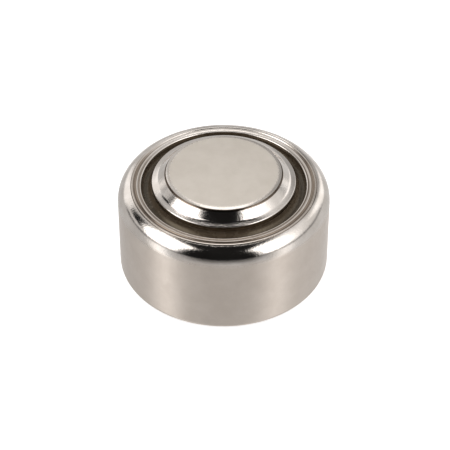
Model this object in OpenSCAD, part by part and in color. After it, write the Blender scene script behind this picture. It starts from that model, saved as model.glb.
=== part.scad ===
// Zinc-air button cell for hearing aids: a crimped can, a stepped cap, the
// nylon gasket that seals and insulates them, and the stack of discs inside.
// Every piece but the collector mesh is a body of revolution about Z. The base
// of the can lies on z = 0. Millimetres and degrees.

/* [Can] */
// Outside diameter of the can
can_d = 11.6; // [10.4:0.1:12.8]
// Thickness of the can's sheet
can_t = 0.25; // [0.2:0.01:0.28]
// Outside radius of the corner round the base
base_corner_r = 0.35; // [0.3:0.05:0.6]
// Outside radius of the crimped shoulder
shoulder_r = 0.95; // [0.9:0.01:1.1]
// Angle that the shoulder turns through, up to the line round the rim
crimp_angle = 76; // [72:1:78]
// Width of the line that the crimping die leaves round the rim
die_line_w = 0.045; // [0.03:0.005:0.06]
// Depth of the line round the rim
die_line_d = 0.04; // [0.03:0.005:0.06]
// Width of the flat crest of the rim
crest_w = 0.1; // [0.06:0.01:0.14]
// Width of the valley between the crest and the lip of the rim
valley_w = 0.15; // [0.1:0.01:0.2]
// Depth of the valley
valley_d = 0.03; // [0.01:0.005:0.1]
// Width of the lip between the valley and the mouth of the can
lip_w = 0.28; // [0.2:0.01:0.36]
// Width of the hollow along the lip
lip_hollow_w = 0.14; // [0.08:0.01:0.16]
// Depth of the hollow along the lip
lip_hollow_d = 0.015; // [0.005:0.005:0.04]
// Radius of the upper edge of the mouth
mouth_edge_r = 0.05; // [0.03:0.01:0.08]
// Diameter of one air hole in the base
air_hole_d = 0.5; // [0.3:0.05:0.8]
// Number of air holes
air_hole_count = 4; // [2:1:6]
// Diameter of the circle that the air holes lie on
air_hole_ring_d = 4.4; // [3:0.1:7]

/* [Cap] */
// Height of the cell from its base to the top of the cap
cell_h = 6.25; // [5.2:0.05:7.2]
// Height of the top of the cap above the rim of the can
cap_rise = 0.85; // [0.8:0.01:1]
// Thickness of the cap's sheet
cap_t = 0.2; // [0.16:0.01:0.21]
// Radius of the roll-off round the contact disc
disc_roll_r = 0.9; // [0.5:0.05:1.2]
// Angle that the roll-off turns through
disc_roll_angle = 18; // [10:1:24]
// Height of the coined edge under the roll-off
disc_edge_h = 0.05; // [0.03:0.01:0.08]
// Width of the cone between the contact disc and the step
cone_w = 0.46; // [0.36:0.01:0.56]
// Slope of the cone
cone_slope = 42; // [36:1:46]
// Radius of the crease between the cone and the step
crease_bend_r = 0.35; // [0.2:0.05:0.5]
// Width of the step between the cone and the groove
step_w = 0.31; // [0.26:0.01:0.36]
// Slope of the step
step_slope = 16; // [8:1:20]
// Radius of the step's outer edge
step_r = 0.12; // [0.08:0.01:0.16]
// Width of the groove between the step and the mouth of the can
groove_w = 0.59; // [0.5:0.01:0.7]
// Radius between the wall of the cap and its flange
flange_foot_r = 0.1; // [0.06:0.01:0.11]

/* [Gasket] */
// Thickness of the gasket between the can and the cap
gasket_t = 0.3; // [0.26:0.01:0.34]
// Thickness of the gasket's foot under the skirt of the cap
gasket_foot_t = 0.3; // [0.2:0.05:0.5]
// Width of the gasket's foot inside the skirt of the cap
gasket_foot_w = 0.35; // [0.1:0.05:0.6]
// Thickness of the gasket at the bottom of the groove
groove_floor_t = 0.13; // [0.12:0.01:0.2]
// Radius of the gasket between the mouth of the can and the groove's bottom
groove_r = 0.2; // [0.1:0.01:0.24]

/* [Discs inside] */
// Thickness of the air diffusion paper
paper_t = 0.15; // [0.1:0.05:0.3]
// Thickness of the water-repellent membrane
membrane_t = 0.1; // [0.05:0.01:0.2]
// Thickness of the air cathode
cathode_t = 0.4; // [0.3:0.05:0.6]
// Thickness of the separator
separator_t = 0.1; // [0.05:0.01:0.2]
// Radial clearance between the discs and the bore of the can
disc_clear = 0.05; // [0.02:0.01:0.1]
// Radial clearance between the paper and the corner inside the can
paper_clear = 0.05; // [0.02:0.01:0.3]
// Thickness of the collector mesh
mesh_t = 0.1; // [0.05:0.01:0.15]
// Distance from one opening of the mesh to the next
mesh_pitch = 0.9; // [0.9:0.05:1.5]
// Width of an opening of the mesh
mesh_opening = 0.65; // [0.4:0.05:0.7]
// Width of the plain border round the mesh
mesh_border = 0.3; // [0.2:0.05:0.6]
// Depth of the zinc gel's top below the bend of the cap's skirt
gel_depth = 0.15; // [0:0.05:1]

/* [Hidden] */
// Turn between two neighbouring points of a bend
arc_step = 9;
// Overlap of a cutting tool past the face it cuts
cut_over = 0.1;
$fn = 96;

can_r = can_d / 2;
bore_r = can_r - can_t;
rim_h = cell_h - cap_rise;
base_corner_c = [can_r, 0] + [-1, 1] * base_corner_r;

// The crimp bends the can, the gasket and the cap about one circle
crimp_z = rim_h - shoulder_r;
crimp_c = [can_r - shoulder_r, crimp_z];
skirt_r = bore_r - gasket_t;
skirt_bend_r = shoulder_r - can_t - gasket_t;

// Rings round the axis, from the shoulder inward
crest_r = crimp_c[0] + shoulder_r * cos(crimp_angle) - die_line_w;
valley_r = crest_r - crest_w;
lip_r = valley_r - valley_w;
mouth_r = lip_r - lip_w;
lip_mid_r = (lip_r + mouth_r) / 2;
step_edge_r = mouth_r - groove_w;
crease_r = step_edge_r - step_w;
disc_edge_r = crease_r - cone_w;
foot_in_r = skirt_r - cap_t - gasket_foot_w;

// The stack of discs, from the base up
paper_z = can_t;
membrane_z = paper_z + paper_t;
cathode_z = membrane_z + membrane_t;
separator_z = cathode_z + cathode_t;
stack_z = separator_z + separator_t;
skirt_z = stack_z + gasket_foot_t;
stack_r = bore_r - disc_clear;
paper_r = can_r - base_corner_r - paper_clear;
mesh_z = cathode_z + (cathode_t - mesh_t) / 2;
gel_top_z = crimp_z - gel_depth;

// The cap, from the contact disc out
roll_c = [disc_edge_r - disc_roll_r * sin(disc_roll_angle), cell_h - disc_roll_r];
disc_foot_z = cell_h - disc_roll_r * (1 - cos(disc_roll_angle)) - disc_edge_h;
disc_foot = [disc_edge_r, disc_foot_z];
crease_z = disc_foot_z - cone_w * tan(cone_slope);
crease_turn = (cone_slope - step_slope) / 2;
crease_c = [crease_r, crease_z]
    + crease_bend_r / cos(crease_turn) * normal(90 - step_slope - crease_turn);
step_tangent_x = step_edge_r - step_r + step_r * sin(step_slope);
step_tangent_z = crease_z - (step_tangent_x - crease_r) * tan(step_slope);
step_c = [step_edge_r - step_r, step_tangent_z - step_r * cos(step_slope)];
flange_z = crimp_z + skirt_bend_r;
flange_foot_c = [step_edge_r, flange_z] + [1, 1] * flange_foot_r;

// The groove between the cap and the mouth of the can
floor_z = flange_z + groove_floor_t;
groove_c = [mouth_r - groove_r, floor_z + groove_r];

// Bends of the outside face of each sheet: centre, radius, and the direction of
// the outward normal where the bend starts and ends. A negative radius is a
// hollow bend, and a radius of 0 is a sharp corner.
can_bends = [
    [base_corner_c, base_corner_r, -90, 0],
    [crimp_c, shoulder_r, 0, crimp_angle]
];
cap_bends = [
    [roll_c, disc_roll_r, 90, 90 - disc_roll_angle],
    [disc_foot, 0, 90 - disc_roll_angle, 90 - cone_slope],
    [crease_c, -crease_bend_r, 90 - cone_slope, 90 - step_slope],
    [step_c, step_r, 90 - step_slope, 0],
    [flange_foot_c, -flange_foot_r, 0, 90],
    [crimp_c, skirt_bend_r, 90, 0]
];

function normal(a) = [cos(a), sin(a)];

// Points of an arc about c, one every arc_step or less
function arc(c, r, from, to) =
    let (steps = max(1, ceil(abs(to - from) / arc_step)))
    [for (i = [0:steps]) c + r * normal(from + (to - from) * i / steps)];

function reversed(points) = [for (i = [len(points) - 1:-1:0]) points[i]];

// Points of a sheet's face, at a depth below its outside face. A bend that is
// tighter than the depth comes out as a sharp corner.
function face(bends, depth) =
    [for (b = bends) each (b[1] < 0 || b[1] > depth
        ? arc(b[0], b[1] - depth, b[2], b[3])
        : [b[0] + (b[1] - depth) / cos((b[3] - b[2]) / 2) * normal((b[2] + b[3]) / 2)])];

// Points of a shallow hollow in the top of the rim, from one radius to another
function hollow(from, to, depth) =
    [[from, rim_h], [(from + to) / 2, rim_h - depth], [to, rim_h]];

module turned(profile) {
    rotate_extrude() polygon(profile);
}

module disc(r, z, t) {
    translate([0, 0, z]) cylinder(r = r, h = t);
}

// Deep-drawn steel cup, plated with nickel, with its rim crimped inward
module cathode_can() {
    rim = concat(
        [[crest_r + die_line_w / 2, rim_h - die_line_d], [crest_r, rim_h]],
        hollow(valley_r, lip_r, valley_d),
        hollow(lip_mid_r + lip_hollow_w / 2, lip_mid_r - lip_hollow_w / 2, lip_hollow_d),
        arc([mouth_r, rim_h] + [1, -1] * mouth_edge_r, mouth_edge_r, 90, 180),
        [[mouth_r, rim_h - can_t]]
    );
    bore = arc(crimp_c, shoulder_r - can_t, 90, 0);
    corner = arc(base_corner_c, base_corner_r - can_t, 0, -90);
    profile = concat([[0, 0]], face(can_bends, 0), rim, bore, corner, [[0, can_t]]);
    color([0.78, 0.75, 0.7])
    difference() {
        turned(profile);
        for (i = [0:air_hole_count - 1])
            rotate(i * 360 / air_hole_count)
            translate([air_hole_ring_d / 2, 0, -cut_over])
            cylinder(d = air_hole_d, h = can_t + 2 * cut_over);
    }
}

// Porous paper that spreads the air from the holes
module diffusion_paper() {
    color([0.93, 0.92, 0.88]) disc(paper_r, paper_z, paper_t);
}

// Film that lets air in and keeps the electrolyte back
module air_membrane() {
    color([0.97, 0.97, 0.97]) disc(stack_r, membrane_z, membrane_t);
}

// Disc of catalyst and carbon, pressed through the collector mesh
module air_cathode() {
    color([0.13, 0.13, 0.14])
    difference() {
        disc(stack_r, cathode_z, cathode_t);
        mesh_body();
    }
}

// Nickel mesh that carries the current to the wall of the can
module collector_mesh() {
    color([0.7, 0.69, 0.66]) mesh_body();
}

module mesh_body() {
    reach = floor(bore_r / mesh_pitch);
    corner = mesh_opening / sqrt(2);
    translate([0, 0, mesh_z])
    linear_extrude(mesh_t)
    difference() {
        circle(bore_r);
        for (i = [-reach:reach], j = [-reach:reach])
            if (norm([i, j]) * mesh_pitch + corner < bore_r - mesh_border)
                translate([i, j] * mesh_pitch) square(mesh_opening, center = true);
    }
}

// Film between the cathode and the zinc
module separator() {
    color([0.85, 0.86, 0.82]) disc(stack_r, separator_z, separator_t);
}

// Nylon ring from the foot of the cap's skirt to the mouth of the can
module gasket() {
    color([0.4, 0.35, 0.3])
    turned(concat(
        [[foot_in_r, stack_z], [bore_r, stack_z]],
        arc(crimp_c, shoulder_r - can_t, 0, 90),
        [[mouth_r, rim_h - can_t]],
        arc(groove_c, groove_r, 0, -90),
        [[step_edge_r, floor_z]],
        arc(flange_foot_c, -flange_foot_r, 0, 90),
        arc(crimp_c, skirt_bend_r, 90, 0),
        [[skirt_r, skirt_z], [foot_in_r, skirt_z]]
    ));
}

// Drawn and coined steel cup, upside down, with the contact disc on top
module anode_cap() {
    outside = concat([[0, cell_h]], face(cap_bends, 0), [[skirt_r, skirt_z]]);
    inside = concat([[0, cell_h - cap_t]], face(cap_bends, cap_t), [[skirt_r - cap_t, skirt_z]]);
    color([0.8, 0.77, 0.72]) turned(concat(outside, reversed(inside)));
}

// Zinc powder in gelled electrolyte, with room above it to swell
module zinc_gel() {
    color([0.55, 0.56, 0.58])
    union() {
        disc(foot_in_r, stack_z, gasket_foot_t);
        disc(skirt_r - cap_t, skirt_z, gel_top_z - skirt_z);
    }
}

cathode_can();
diffusion_paper();
air_membrane();
air_cathode();
collector_mesh();
separator();
gasket();
anode_cap();
zinc_gel();
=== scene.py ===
import math

import bpy
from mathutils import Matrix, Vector


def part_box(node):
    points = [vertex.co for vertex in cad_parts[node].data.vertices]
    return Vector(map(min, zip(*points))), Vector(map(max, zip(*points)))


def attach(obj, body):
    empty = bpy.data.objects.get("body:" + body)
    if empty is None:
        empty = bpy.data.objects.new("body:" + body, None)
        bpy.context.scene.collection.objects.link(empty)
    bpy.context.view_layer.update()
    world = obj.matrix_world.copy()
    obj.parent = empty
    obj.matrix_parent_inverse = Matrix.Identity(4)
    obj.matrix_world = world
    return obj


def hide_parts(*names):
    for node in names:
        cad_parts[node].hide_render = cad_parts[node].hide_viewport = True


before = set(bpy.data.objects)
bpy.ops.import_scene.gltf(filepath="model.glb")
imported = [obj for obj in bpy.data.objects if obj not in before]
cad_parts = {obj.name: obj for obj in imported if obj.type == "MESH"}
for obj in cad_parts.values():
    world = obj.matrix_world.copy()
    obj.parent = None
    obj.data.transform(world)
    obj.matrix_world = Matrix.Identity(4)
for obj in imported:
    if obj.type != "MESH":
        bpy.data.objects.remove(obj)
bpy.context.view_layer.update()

# ---------------------------------------------------------------- cathode can
# The can is one deep-drawn cup of nickel-plated steel. Its wall is satin from
# the press, and the crimping die leaves the shoulder and the rim bright.
# Four air holes are punched through its base.
MM = 0.001
CAN_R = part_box("cathode_can")[1][0] / MM
CAN_T = 0.25
BASE_CORNER_R = 0.35
RIM_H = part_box("cathode_can")[1][2] / MM
SHOULDER_R = 0.95
CRIMP_ANGLE = 76
DIE_LINE_W = 0.045
DIE_LINE_D = 0.04
CREST_W = 0.1
VALLEY_W = 0.15
VALLEY_D = 0.03
LIP_W = 0.28
LIP_HOLLOW_W = 0.14
LIP_HOLLOW_D = 0.015
MOUTH_EDGE_R = 0.05
AIR_HOLES = 4
AIR_HOLE_R = 0.25
AIR_HOLE_RING_R = 2.2
AIR_HOLE_SIDES = 48
# The crest's outer edge is eased
CREST_EASE_OUT = 0.005
CREST_EASE_IN = 0.01
CREST_EASE_H = 0.008
TURNS = 288
BEND_STEP = 5
HOLLOW_STEPS = 12
SMOOTH_ANGLE = math.radians(32)
BRIGHT_ROUGHNESS = 0.09


def ray(angle):
    return Vector((math.cos(math.radians(angle)), math.sin(math.radians(angle))))


def bend(centre, radius, start, end):
    """Points of a bend about its centre, one every BEND_STEP degrees or less."""
    steps = max(1, math.ceil(abs(end - start) / BEND_STEP))
    return [centre + radius * ray(start + (end - start) * i / steps) for i in range(steps + 1)]


def turned(name, outline, closed=False):
    """Draws an outline of (radius, height) points in millimetres, and spins it about Z."""
    bpy.ops.object.select_all(action="DESELECT")
    bpy.ops.mesh.primitive_plane_add(size=MM)
    piece = bpy.context.object
    piece.name = name
    piece.data.name = name
    bpy.ops.object.mode_set(mode="EDIT")
    bpy.ops.mesh.merge(type="CENTER")
    if closed:
        outline = outline + outline[:1]
    here = Vector((0.0, 0.0))
    for i, point in enumerate(outline):
        step = ((point[0] - here[0]) * MM, 0, (point[1] - here[1]) * MM)
        if i == 0:
            bpy.ops.transform.translate(value=step)
        else:
            bpy.ops.mesh.extrude_region_move(TRANSFORM_OT_translate={"value": step})
        here = point
    bpy.ops.mesh.select_all(action="SELECT")
    bpy.ops.mesh.spin(steps=TURNS, angle=2 * math.pi, center=(0, 0, 0), axis=(0, 0, 1))
    bpy.ops.mesh.select_all(action="SELECT")
    bpy.ops.mesh.remove_doubles(threshold=0.0005 * MM)
    bpy.ops.mesh.normals_make_consistent(inside=False)
    bpy.ops.object.mode_set(mode="OBJECT")
    bpy.ops.object.shade_smooth_by_angle(angle=SMOOTH_ANGLE)
    return piece


def hollow(start, end, height, depth):
    """A shallow hollow in a flat top, from one radius in to another, with soft edges."""
    points = []
    for i in range(HOLLOW_STEPS + 1):
        dip = (0.5 - 0.5 * math.cos(2 * math.pi * i / HOLLOW_STEPS)) * depth
        points.append(Vector((start + (end - start) * i / HOLLOW_STEPS, height - dip)))
    return points


crimp_c = Vector((CAN_R - SHOULDER_R, RIM_H - SHOULDER_R))
base_c = Vector((CAN_R - BASE_CORNER_R, BASE_CORNER_R))
crest_r = (crimp_c + SHOULDER_R * ray(CRIMP_ANGLE))[0] - DIE_LINE_W
valley_r = crest_r - CREST_W
lip_r = valley_r - VALLEY_W
mouth_r = lip_r - LIP_W
lip_mid_r = (lip_r + mouth_r) / 2
mouth_c = Vector((mouth_r + MOUTH_EDGE_R, RIM_H - MOUTH_EDGE_R))

can_outline = [Vector((0, 0))]
can_outline += bend(base_c, BASE_CORNER_R, -90, 0)
can_outline += bend(crimp_c, SHOULDER_R, 0, CRIMP_ANGLE)
can_outline += [Vector((crest_r + DIE_LINE_W / 2, RIM_H - DIE_LINE_D)),
                Vector((crest_r + CREST_EASE_OUT, RIM_H - CREST_EASE_H)),
                Vector((crest_r - CREST_EASE_IN, RIM_H))]
can_outline += hollow(valley_r, lip_r, RIM_H, VALLEY_D)
can_outline += hollow(lip_mid_r + LIP_HOLLOW_W / 2, lip_mid_r - LIP_HOLLOW_W / 2, RIM_H,
                      LIP_HOLLOW_D)
can_outline += bend(mouth_c, MOUTH_EDGE_R, 90, 180)
can_outline += [Vector((mouth_r, RIM_H - CAN_T))]
can_outline += bend(crimp_c, SHOULDER_R - CAN_T, 90, 0)
can_outline += bend(base_c, BASE_CORNER_R - CAN_T, 0, -90)
can_outline += [Vector((0, CAN_T))]
can = turned("can_shell", can_outline)

for i in range(AIR_HOLES):
    turn = 2 * math.pi * i / AIR_HOLES
    bpy.ops.object.select_all(action="DESELECT")
    bpy.ops.mesh.primitive_cylinder_add(
        vertices=AIR_HOLE_SIDES, radius=AIR_HOLE_R * MM, depth=4 * CAN_T * MM,
        location=(AIR_HOLE_RING_R * MM * math.cos(turn), AIR_HOLE_RING_R * MM * math.sin(turn), 0))
    punch = bpy.context.object
    cut = can.modifiers.new("air_hole", "BOOLEAN")
    cut.operation = "DIFFERENCE"
    cut.solver = "EXACT"
    cut.object = punch
    bpy.ops.object.select_all(action="DESELECT")
    can.select_set(True)
    bpy.context.view_layer.objects.active = can
    bpy.ops.object.modifier_apply(modifier=cut.name)
    bpy.data.objects.remove(punch)
bpy.ops.object.shade_smooth_by_angle(angle=SMOOTH_ANGLE)


def finish_nodes(name):
    """A new material, its node tree and its shader."""
    material = bpy.data.materials.new(name)
    material.use_nodes = True
    nodes = material.node_tree.nodes
    return material, material.node_tree, nodes["Principled BSDF"]


def add_node(tree, kind, settings=None, **inputs):
    """Adds a node, sets its properties and its unlinked inputs, and links the others."""
    node = tree.nodes.new(kind)
    for key, value in (settings or {}).items():
        setattr(node, key, value)
    for key, value in inputs.items():
        socket = node.inputs[int(key[1:])] if key[0] == "_" else node.inputs[key.replace("_", " ")]
        if isinstance(value, bpy.types.NodeSocket):
            tree.links.new(value, socket)
        else:
            socket.default_value = value
    return node


def maths(tree, operation, *values):
    named = {"_%d" % i: value for i, value in enumerate(values)}
    return add_node(tree, "ShaderNodeMath", {"operation": operation}, **named).outputs[0]


def ease(tree, value, low, high, to_low=0.0, to_high=1.0):
    """Smooth change from to_low to to_high as value goes from low to high."""
    node = add_node(tree, "ShaderNodeMapRange", {"interpolation_type": "SMOOTHSTEP"},
                    Value=value, From_Min=low, From_Max=high, To_Min=to_low, To_Max=to_high)
    return node.outputs["Result"]


def two_tone(tree, share, first, second, blend="MIX"):
    """The colour first where share is 0, changing to second where it is 1."""
    node = add_node(tree, "ShaderNodeMix", {"data_type": "RGBA", "blend_type": blend},
                    _0=share, _6=first, _7=second)
    return node.outputs[2]


def noise(tree, place, scale, detail, roughness=0.5):
    node = add_node(tree, "ShaderNodeTexNoise", Vector=place, Scale=scale, Detail=detail,
                    Roughness=roughness)
    return node.outputs["Fac"]


def nickel(name, satin_mask, painted_shade_mask, satin_tone, satin, bright):
    """Nickel plate. satin_mask is 1 where the plate is satin and 0 where a die polished it,
    and the shade mask is 1 where shade is painted into the marks of the dies and other hollows."""
    material, tree, shader = finish_nodes(name)
    place = add_node(tree, "ShaderNodeTexCoord").outputs["Object"]
    mask = satin_mask(tree, place)
    # Slow mottling of the plate, a few tenths of a millimetre across
    clouds = noise(tree, place, 900, 5, 0.6)
    polished = two_tone(tree, ease(tree, clouds, 0.3, 0.7),
                        (0.65, 0.597, 0.548, 1), (0.71, 0.655, 0.607, 1))
    tone = two_tone(tree, mask, polished, satin_tone)
    # Painted shade: where the shade mask is 1 the colour is darkened to 0.3 of it, on top of the
    # slow mottling
    mottle_and_shade = maths(tree, "MULTIPLY", ease(tree, clouds, 0.3, 0.7, 0.96, 1.03),
                   ease(tree, painted_shade_mask(tree, place), 0, 1, 1, 0.30))
    # The painted shade and the mottling are brown: they take more from green and most from blue
    mottle_and_shade_tint = add_node(tree, "ShaderNodeCombineColor", _0=mottle_and_shade,
                     _1=maths(tree, "POWER", mottle_and_shade, 1.12), _2=maths(tree, "POWER", mottle_and_shade, 1.25))
    tint = two_tone(tree, 1.0, tone, mottle_and_shade_tint.outputs[0], "MULTIPLY")
    tree.links.new(tint, shader.inputs["Base Color"])
    shader.inputs["Metallic"].default_value = 1
    # The satin parts are rougher, and both finishes vary a little
    grain = noise(tree, place, 5200, 4, 0.65)
    rough_satin = ease(tree, grain, 0.25, 0.75, satin - 0.05, satin + 0.06)
    rough_bright = ease(tree, clouds, 0.25, 0.75, bright - 0.02, bright + 0.03)
    spread = maths(tree, "SUBTRACT", rough_satin, rough_bright)
    rough = maths(tree, "MULTIPLY_ADD", spread, mask, rough_bright)
    tree.links.new(rough, shader.inputs["Roughness"])
    # Orange peel of the plate under the polish
    peel = noise(tree, place, 9000, 3, 0.7)
    bump = add_node(tree, "ShaderNodeBump", Strength=1.0, Distance=0.0000045, Height=peel)
    tree.links.new(bump.outputs["Normal"], shader.inputs["Normal"])
    return material


def reach_of(tree, place):
    """Distance from the axis."""
    flat = add_node(tree, "ShaderNodeVectorMath", {"operation": "MULTIPLY"}, _0=place, _1=(1, 1, 0))
    length = add_node(tree, "ShaderNodeVectorMath", {"operation": "LENGTH"}, _0=flat.outputs[0])
    return length.outputs["Value"]


def band(tree, value, low, high, soft):
    """1 between two values in millimetres and 0 outside them, with soft ends."""
    rise = ease(tree, value, (low - soft) * MM, (low + soft) * MM)
    fall = ease(tree, value, (high - soft) * MM, (high + soft) * MM, 1, 0)
    return maths(tree, "MULTIPLY", rise, fall)


def can_satin(tree, place):
    """The wall is satin, up to where the shoulder starts."""
    height = add_node(tree, "ShaderNodeSeparateXYZ", Vector=place).outputs["Z"]
    return ease(tree, height, (crimp_c[1] - 0.05) * MM, (crimp_c[1] + 0.28) * MM, 1, 0)


def can_painted_shade(tree, place):
    """Painted shade in the marks of the rim, and lighter painted shade between them; it is
    strongest at the front and faint at the back.
    """
    parts = add_node(tree, "ShaderNodeSeparateXYZ", Vector=place).outputs
    reach = reach_of(tree, place)
    # Painted shade fades from the front of the cell, where it is strongest, to the back
    shade_to_front = ease(tree, parts["Y"], 1.0 * MM, 4.2 * MM, 1, 0.12)
    # Painted shade: darker bands in the valley, the hollow of the lip and the die line, and a
    # lighter band across the whole rim top
    valley = maths(tree, "MULTIPLY", band(tree, reach, lip_r - 0.025, valley_r + 0.03, 0.03), 0.95)
    dip = maths(tree, "MULTIPLY", band(tree, reach, mouth_r + 0.065, lip_mid_r + 0.02, 0.025), 0.78)
    line = maths(tree, "MULTIPLY", band(tree, reach, crest_r + 0.005, crest_r + 0.05, 0.01), 0.8)
    film = maths(tree, "MULTIPLY", band(tree, reach, mouth_r + 0.05, crest_r + 0.02, 0.015), 0.34)
    marks = maths(tree, "MAXIMUM", maths(tree, "MAXIMUM", valley, dip),
                  maths(tree, "MAXIMUM", line, film))
    above_wall = ease(tree, parts["Z"], 4 * MM, 5 * MM)
    return maths(tree, "MULTIPLY", above_wall, maths(tree, "MULTIPLY", marks, shade_to_front))


can.data.materials.append(nickel("nickel_can", can_satin, can_painted_shade,
                                 satin_tone=(0.66, 0.585, 0.52, 1), satin=0.34,
                                 bright=BRIGHT_ROUGHNESS))
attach(can, "root")
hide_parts("cathode_can")

# ------------------------------------------------------------ diffusion paper
# A disc of porous white paper lies on the floor of the can and spreads the air
# that comes through the holes. It is held down by the discs above it.
def dress(node, material):
    """Gives a solid of the frame its material."""
    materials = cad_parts[node].data.materials
    materials.clear()
    materials.append(material)


paper, tree, shader = finish_nodes("porous_paper")
place = add_node(tree, "ShaderNodeTexCoord").outputs["Object"]
fibres = noise(tree, place, 6000, 8, 0.7)
tone = two_tone(tree, fibres, (0.66, 0.63, 0.56, 1), (0.86, 0.84, 0.78, 1))
tree.links.new(tone, shader.inputs["Base Color"])
tree.links.new(ease(tree, fibres, 0.2, 0.8, 0.8, 0.98), shader.inputs["Roughness"])
felt = add_node(tree, "ShaderNodeBump", Strength=0.8, Distance=0.00002, Height=fibres)
tree.links.new(felt.outputs["Normal"], shader.inputs["Normal"])
dress("diffusion_paper", paper)

# --------------------------------------------------------------- air membrane
# A thin white fluoropolymer film above the paper. Air passes it and the
# electrolyte doesn't. It is pressed between the paper and the cathode.
film, tree, shader = finish_nodes("white_film")
place = add_node(tree, "ShaderNodeTexCoord").outputs["Object"]
haze = noise(tree, place, 1500, 4, 0.5)
tone = two_tone(tree, haze, (0.84, 0.85, 0.86, 1), (0.92, 0.92, 0.92, 1))
tree.links.new(tone, shader.inputs["Base Color"])
tree.links.new(ease(tree, haze, 0.3, 0.7, 0.38, 0.52), shader.inputs["Roughness"])
dress("air_membrane", film)

# ---------------------------------------------------------------- air cathode
# Carbon and catalyst powder, bound and pressed into a black disc through the
# openings of the collector mesh.
carbon, tree, shader = finish_nodes("pressed_carbon")
place = add_node(tree, "ShaderNodeTexCoord").outputs["Object"]
powder = noise(tree, place, 9000, 6, 0.7)
tone = two_tone(tree, powder, (0.012, 0.012, 0.013, 1), (0.045, 0.044, 0.043, 1))
tree.links.new(tone, shader.inputs["Base Color"])
tree.links.new(ease(tree, powder, 0.3, 0.7, 0.7, 0.95), shader.inputs["Roughness"])
pits = add_node(tree, "ShaderNodeBump", Strength=0.7, Distance=0.00001, Height=powder)
tree.links.new(pits.outputs["Normal"], shader.inputs["Normal"])
dress("air_cathode", carbon)

# ------------------------------------------------------------- collector mesh
# A nickel mesh inside the cathode. Its plain border touches the wall of the
# can and carries the current to it.
wire, tree, shader = finish_nodes("mesh_nickel")
place = add_node(tree, "ShaderNodeTexCoord").outputs["Object"]
tarnish = noise(tree, place, 4000, 5, 0.6)
tone = two_tone(tree, tarnish, (0.50, 0.47, 0.42, 1), (0.66, 0.62, 0.55, 1))
tree.links.new(tone, shader.inputs["Base Color"])
shader.inputs["Metallic"].default_value = 1
tree.links.new(ease(tree, tarnish, 0.3, 0.7, 0.3, 0.5), shader.inputs["Roughness"])
dress("collector_mesh", wire)

# ------------------------------------------------------------------ separator
# A fine fibrous film on the cathode, which keeps the zinc off it. The foot of
# the gasket presses its edge down.
fleece, tree, shader = finish_nodes("separator_fleece")
place = add_node(tree, "ShaderNodeTexCoord").outputs["Object"]
strands = noise(tree, place, 7500, 7, 0.65)
tone = two_tone(tree, strands, (0.62, 0.64, 0.58, 1), (0.78, 0.79, 0.74, 1))
tree.links.new(tone, shader.inputs["Base Color"])
tree.links.new(ease(tree, strands, 0.3, 0.7, 0.6, 0.8), shader.inputs["Roughness"])
dress("separator", fleece)

# ------------------------------------------------------------------- zinc gel
# Zinc powder in gelled electrolyte fills most of the cap and leaves room to
# swell above it.
paste, tree, shader = finish_nodes("zinc_paste")
place = add_node(tree, "ShaderNodeTexCoord").outputs["Object"]
grains = add_node(tree, "ShaderNodeTexVoronoi", Vector=place, Scale=9000).outputs["Distance"]
tone = two_tone(tree, grains, (0.42, 0.43, 0.45, 1), (0.12, 0.125, 0.135, 1))
tree.links.new(tone, shader.inputs["Base Color"])
shader.inputs["Metallic"].default_value = 0.6
tree.links.new(ease(tree, grains, 0.1, 0.7, 0.3, 0.55), shader.inputs["Roughness"])
lumps = add_node(tree, "ShaderNodeBump", Strength=0.8, Distance=0.00002, Height=grains)
tree.links.new(lumps.outputs["Normal"], shader.inputs["Normal"])
dress("zinc_gel", paste)

# --------------------------------------------------------------------- gasket
# A moulded nylon ring between the cap and the can. The crimp squeezes it, and
# its smoky brown top is the floor of the groove round the cap.
GASKET_T = 0.3
GASKET_FOOT_T = 0.3
GASKET_FOOT_W = 0.35
GROOVE_W = 0.59
GROOVE_FLOOR_T = 0.13
GROOVE_R = 0.2
GROOVE_RISE_R = 0.38
GROOVE_RISE_END = 5
CAP_T = 0.2
FLANGE_FOOT_R = 0.1

stack_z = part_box("separator")[1][2] / MM
skirt_z = stack_z + GASKET_FOOT_T
skirt_r = CAN_R - CAN_T - GASKET_T
skirt_bend_r = SHOULDER_R - CAN_T - GASKET_T
foot_in_r = skirt_r - CAP_T - GASKET_FOOT_W
step_edge_r = mouth_r - GROOVE_W
flange_z = crimp_c[1] + skirt_bend_r
flange_foot_c = Vector((step_edge_r + FLANGE_FOOT_R, flange_z + FLANGE_FOOT_R))
floor_z = flange_z + GROOVE_FLOOR_T
groove_c = Vector((mouth_r - GROOVE_R, floor_z + GROOVE_R))
rise_c = Vector((step_edge_r + GROOVE_RISE_R, floor_z + GROOVE_RISE_R))

gasket_outline = [Vector((foot_in_r, stack_z)), Vector((skirt_r + GASKET_T, stack_z))]
gasket_outline += bend(crimp_c, SHOULDER_R - CAN_T, 0, 90)
gasket_outline += [Vector((mouth_r, RIM_H - CAN_T))]
gasket_outline += bend(groove_c, GROOVE_R, 0, -90)
gasket_outline += bend(rise_c, -GROOVE_RISE_R, 90, GROOVE_RISE_END)
gasket_outline += [Vector((step_edge_r, rise_c[1]))]
gasket_outline += bend(flange_foot_c, -FLANGE_FOOT_R, 0, 90)
gasket_outline += bend(crimp_c, skirt_bend_r, 90, 0)
gasket_outline += [Vector((skirt_r, skirt_z)), Vector((foot_in_r, skirt_z))]
gasket = turned("gasket_ring", gasket_outline, closed=True)

nylon, tree, shader = finish_nodes("smoky_nylon")
place = add_node(tree, "ShaderNodeTexCoord").outputs["Object"]
swirl = noise(tree, place, 1800, 4, 0.55)
tone = two_tone(tree, swirl, (0.026, 0.018, 0.011, 1), (0.050, 0.036, 0.023, 1))
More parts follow.
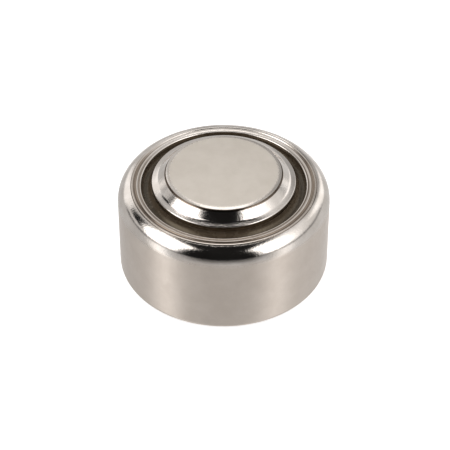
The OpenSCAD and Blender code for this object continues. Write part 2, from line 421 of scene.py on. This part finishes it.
# Painted glow: near the ring's two edges the colour turns to a lighter amber, standing in for light
# that shines through the nylon there
reach = reach_of(tree, place)
painted_glow = maths(tree, "MAXIMUM",
             ease(tree, reach, (step_edge_r + 0.05) * MM, (step_edge_r + 0.30) * MM, 1, 0),
             ease(tree, reach, (mouth_r - 0.2) * MM, mouth_r * MM))
amber_with_glow = two_tone(tree, maths(tree, "MULTIPLY", painted_glow, 0.4), tone, (0.15, 0.115, 0.08, 1))
tree.links.new(amber_with_glow, shader.inputs["Base Color"])
tree.links.new(ease(tree, swirl, 0.3, 0.7, 0.20, 0.32), shader.inputs["Roughness"])
shader.inputs["IOR"].default_value = 1.5
shader.inputs["Specular Tint"].default_value = (1, 0.84, 0.62, 1)
flow = add_node(tree, "ShaderNodeBump", Strength=1.0, Distance=0.000003,
                Height=noise(tree, place, 6000, 3))
tree.links.new(flow.outputs["Normal"], shader.inputs["Normal"])
gasket.data.materials.append(nylon)
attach(gasket, "root")
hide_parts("gasket")

# ------------------------------------------------------------------ anode cap
# The cap is drawn from nickel-clad steel. A coined edge sets off its satin
# contact disc, and a bright cone and step lead down to the flange.
CELL_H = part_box("anode_cap")[1][2] / MM
DISC_ROLL_R = 0.9
DISC_ROLL_ANGLE = 18
DISC_EDGE_H = 0.05
NOTCH_W = 0.07
NOTCH_D = 0.05
NOTCH_WALL_W = 0.005
NOTCH_SAG = 0.02
CONE_W = 0.46
CONE_SLOPE = 42
CREASE_BEND_R = 0.35
STEP_W = 0.31
STEP_SLOPE = 17.5
STEP_R = 0.05
STEP_LIFT_W = 0.08
STEP_LIFT = 0.0022

crease_r = step_edge_r - STEP_W
disc_edge_r = crease_r - CONE_W
roll_c = Vector((disc_edge_r - DISC_ROLL_R * ray(90 - DISC_ROLL_ANGLE)[0], CELL_H - DISC_ROLL_R))
roll_end = roll_c + DISC_ROLL_R * ray(90 - DISC_ROLL_ANGLE)
disc_foot = Vector((disc_edge_r, roll_end[1] - DISC_EDGE_H))
crease = Vector((crease_r, disc_foot[1] - CONE_W * math.tan(math.radians(CONE_SLOPE))))
crease_turn = (CONE_SLOPE - STEP_SLOPE) / 2
crease_c = crease + CREASE_BEND_R / ray(crease_turn)[0] * ray(90 - STEP_SLOPE - crease_turn)
step_top = Vector((step_edge_r - STEP_R + STEP_R * ray(90 - STEP_SLOPE)[0], 0))
step_top[1] = crease[1] - (step_top[0] - crease_r) * math.tan(math.radians(STEP_SLOPE))
step_c = step_top - STEP_R * ray(90 - STEP_SLOPE)
step_turn = step_top - Vector(
    (STEP_LIFT_W, -STEP_LIFT_W * math.tan(math.radians(STEP_SLOPE)) + STEP_LIFT))


def corner(point, depth, start, end):
    """Where two faces of a sheet meet, at a depth below the corner of its outside faces."""
    return [point - depth / ray((start - end) / 2)[0] * ray((start + end) / 2)]


def cap_face(depth):
    """Points of one face of the cap's sheet, at a depth below its outside face."""
    points = [Vector((0, CELL_H - depth))]
    points += bend(roll_c, DISC_ROLL_R - depth, 90, 90 - DISC_ROLL_ANGLE)
    if depth == 0:
        cone_top = disc_foot + NOTCH_W / ray(CONE_SLOPE)[0] * ray(-CONE_SLOPE)
        points += [disc_foot + Vector((NOTCH_WALL_W, -NOTCH_D)),
                   cone_top - Vector((NOTCH_W / 2, NOTCH_SAG)), cone_top]
    else:
        points += corner(disc_foot, depth, 90 - DISC_ROLL_ANGLE, 90 - CONE_SLOPE)
    points += bend(crease_c, -CREASE_BEND_R - depth, 90 - CONE_SLOPE, 90 - STEP_SLOPE)
    points += [step_turn - depth * ray(90 - STEP_SLOPE)]
    if depth < STEP_R:
        points += bend(step_c, STEP_R - depth, 90 - STEP_SLOPE, 0)
    else:
        points += corner(step_c, depth - STEP_R, 90 - STEP_SLOPE, 0)
    points += bend(flange_foot_c, -FLANGE_FOOT_R - depth, 0, 90)
    points += bend(crimp_c, skirt_bend_r - depth, 90, 0)
    return points + [Vector((skirt_r - depth, skirt_z))]


cap = turned("cap_shell", cap_face(0) + cap_face(CAP_T)[::-1])


def cap_satin(tree, place):
    """The contact disc is satin, up to its rolled edge."""
    return ease(tree, reach_of(tree, place), roll_c[0] * MM, (disc_edge_r - 0.02) * MM, 1, 0)


def cap_painted_shade(tree, place):
    """Painted shade in the notch at the foot of the coined edge, and on the wall under the step."""
    height = add_node(tree, "ShaderNodeSeparateXYZ", Vector=place).outputs["Z"]
    notch = band(tree, reach_of(tree, place), disc_edge_r, disc_edge_r + NOTCH_W, 0.015)
    wall = ease(tree, height, (step_c[1] - 0.06) * MM, (step_c[1] - 0.01) * MM, 0.6, 0)
    return maths(tree, "MAXIMUM", notch, wall)


cap.data.materials.append(nickel("nickel_cap", cap_satin, cap_painted_shade,
                                 satin_tone=(0.66, 0.60, 0.53, 1), satin=0.33,
                                 bright=BRIGHT_ROUGHNESS))
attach(cap, "root")
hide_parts("anode_cap")

# ------------------------------------------------------------ floor and light
# A white table in a room that is dark in front and above. A tall soft panel
# stands at each side, a lower one at each corner behind with a pale cove
# between, and one hangs overhead at the back.
TABLE_GLOW = 0.62
DARK = 0.012
bpy.ops.object.select_all(action="DESELECT")
bpy.ops.mesh.primitive_plane_add(size=1.2)
floor = bpy.context.object
floor.name = "floor"
floor.visible_glossy = False
white, tree, shader = finish_nodes("white_table")
shader.inputs["Base Color"].default_value = (0.86, 0.86, 0.86, 1)
shader.inputs["Roughness"].default_value = 0.8
seen = add_node(tree, "ShaderNodeLightPath").outputs["Is Camera Ray"]
glow = add_node(tree, "ShaderNodeEmission", Strength=maths(tree, "MULTIPLY", seen, TABLE_GLOW))
both = add_node(tree, "ShaderNodeAddShader", _0=shader.outputs[0], _1=glow.outputs[0])
tree.links.new(both.outputs[0], tree.nodes["Material Output"].inputs["Surface"])
floor.data.materials.append(white)

room = bpy.data.worlds.new("studio")
bpy.context.scene.world = room
room.use_nodes = True
tree = room.node_tree
aim = add_node(tree, "ShaderNodeTexCoord").outputs["Generated"]
axes = add_node(tree, "ShaderNodeSeparateXYZ", Vector=aim)
x, y, z = axes.outputs["X"], axes.outputs["Y"], axes.outputs["Z"]
side = maths(tree, "ABSOLUTE", x)
turn = maths(tree, "ARCTAN2", side, maths(tree, "MULTIPLY", y, -1.0))


def both_of(*masks):
    """1 only where every mask is 1."""
    value = masks[0]
    for mask in masks[1:]:
        value = maths(tree, "MULTIPLY", value, mask)
    return value


def at_sides(for_left, for_right):
    """One value for the left of the room and another for the right."""
    span = maths(tree, "SUBTRACT", for_left, for_right)
    return maths(tree, "MULTIPLY_ADD", left, span, for_right)


left = ease(tree, x, -0.03, 0.03, 1, 0)
# How far behind the slanted plane that ends the panels at the back
behind = maths(tree, "SUBTRACT", y, maths(tree, "MULTIPLY_ADD", z, 0.85, -0.3275))
from_front = maths(tree, "SUBTRACT", turn, at_sides(0.84, 0.66))
from_top = maths(tree, "MULTIPLY_ADD", z, -0.32, side)
panel_end = at_sides(ease(tree, behind, -0.10, 0.06, 1, 0),
                     both_of(ease(tree, behind, -0.60, 0.10, 1, 0.5),
                             ease(tree, turn, 2.3, 2.75, 1, 0.35)))
panels = both_of(ease(tree, z, 0.17, 0.42), ease(tree, from_front, -0.10, 0.13),
                 ease(tree, from_top, -0.03, 0.06), panel_end)
rear_left = both_of(ease(tree, behind, 0.28, 0.44), ease(tree, turn, 1.98, 2.28),
                    ease(tree, turn, 2.62, 2.92, 1, 0), ease(tree, z, 0.02, 0.22),
                    ease(tree, z, 0.64, 0.76, 1, 0))
slant = maths(tree, "MULTIPLY_ADD", z, 0.5, maths(tree, "SUBTRACT", turn, 0.15))
rear_right = both_of(ease(tree, slant, 1.95, 2.30), ease(tree, slant, 2.50, 2.80, 1, 0),
                     ease(tree, z, 0.0, 0.2), ease(tree, z, 0.62, 0.76, 1, 0))
rear = at_sides(maths(tree, "MULTIPLY", rear_left, 1.28),
                maths(tree, "MULTIPLY", rear_right, 1.45))
cove = both_of(at_sides(0.67, 0.45), ease(tree, turn, 2.2, 2.5), ease(tree, z, 0.05, 0.2),
               ease(tree, z, 0.85, 0.95, 1, 0))
middle = both_of(ease(tree, side, 0.10, 0.34, 1, 0), ease(tree, z, 0.40, 0.58),
                 ease(tree, z, 0.80, 0.90, 1, 0), ease(tree, y, 0.2, 0.3))
fill = both_of(left, ease(tree, behind, -0.10, 0.02), ease(tree, z, 0.44, 0.50, 1, 0),
               ease(tree, turn, 2.3, 2.5, 1, 0), ease(tree, z, 0.27, 0.33))
ridge = both_of(ease(tree, behind, -0.10, 0.02), ease(tree, z, 0.74, 0.80),
                ease(tree, side, 0.20, 0.30))
top_back = both_of(ease(tree, y, 0.24, 0.34), ease(tree, z, 0.76, 0.82),
                   ease(tree, side, 0.12, 0.26, 1, 0))
# The lower half of the room, which the wall of the can shows
front = ease(tree, z, -0.40, 0.22, 0.60, 0.14)
near = maths(tree, "SUBTRACT", at_sides(0.62, 0.73), front)
low = maths(tree, "MULTIPLY_ADD", near, ease(tree, turn, 0.35, 1.0), front)
stripe = maths(tree, "ABSOLUTE", maths(tree, "SUBTRACT", turn, at_sides(1.17, 1.06)))
low = maths(tree, "MULTIPLY_ADD", ease(tree, stripe, 0.0, 0.32, 1, 0), at_sides(0.98, 0.62), low)
far = both_of(ease(tree, turn, 2.55, 2.9), ease(tree, z, -0.35, -0.05, 1, 0))
low = maths(tree, "MULTIPLY_ADD", far, 0.4, low)

# The panels are brightest in the middle. Of lights that overlap, the brighter shows.
core = maths(tree, "POWER", panels, 8.0)
light = maths(tree, "MULTIPLY_ADD", core, 1.2, maths(tree, "MULTIPLY", panels, 1.85))
light = maths(tree, "MAXIMUM", light, rear)
light = maths(tree, "MAXIMUM", light, cove)
edges = maths(tree, "MAXIMUM", fill, ridge)
light = maths(tree, "MAXIMUM", light, maths(tree, "MULTIPLY", edges, 0.75))
light = maths(tree, "MAXIMUM", light, maths(tree, "MULTIPLY", middle, 0.95))
light = maths(tree, "MAXIMUM", light, maths(tree, "MULTIPLY", top_back, 2.0))
low = maths(tree, "MULTIPLY", low, ease(tree, z, 0.12, 0.32, 1, 0))
light = maths(tree, "MAXIMUM", light, low)
light = maths(tree, "MAXIMUM", light, DARK)
seen = add_node(tree, "ShaderNodeLightPath").outputs["Is Camera Ray"]
strength = add_node(tree, "ShaderNodeMix", {"data_type": "FLOAT"}, _0=seen, _2=light, _3=1.0)
backdrop = tree.nodes["Background"]
backdrop.inputs["Color"].default_value = (1, 1, 1, 1)
tree.links.new(strength.outputs[0], backdrop.inputs["Strength"])

# --------------------------------------------------------------------- camera
# A long lens in front of the cell looks down on it from well above. The shift
# is in pixels of a picture PICTURE_W across.
ELEVATION = math.radians(40.94)
DISTANCE = 100
LENS = 144.8
AIM_Z = 3.0
PICTURE_W = 450
SHIFT_X = 1.2
SHIFT_Y = -8.4
camera = bpy.data.objects.new("camera", bpy.data.cameras.new("camera"))
bpy.context.scene.collection.objects.link(camera)
camera.location = (0, -DISTANCE * math.cos(ELEVATION) * MM,
                   (AIM_Z + DISTANCE * math.sin(ELEVATION)) * MM)
camera.rotation_euler = (math.pi / 2 - ELEVATION, 0, 0)
camera.data.sensor_width = 36
camera.data.lens = LENS
camera.data.clip_start = 0.001
camera.data.shift_x = SHIFT_X / PICTURE_W
camera.data.shift_y = SHIFT_Y / PICTURE_W
bpy.context.scene.camera = camera
bpy.context.scene.view_settings.view_transform = "Standard"
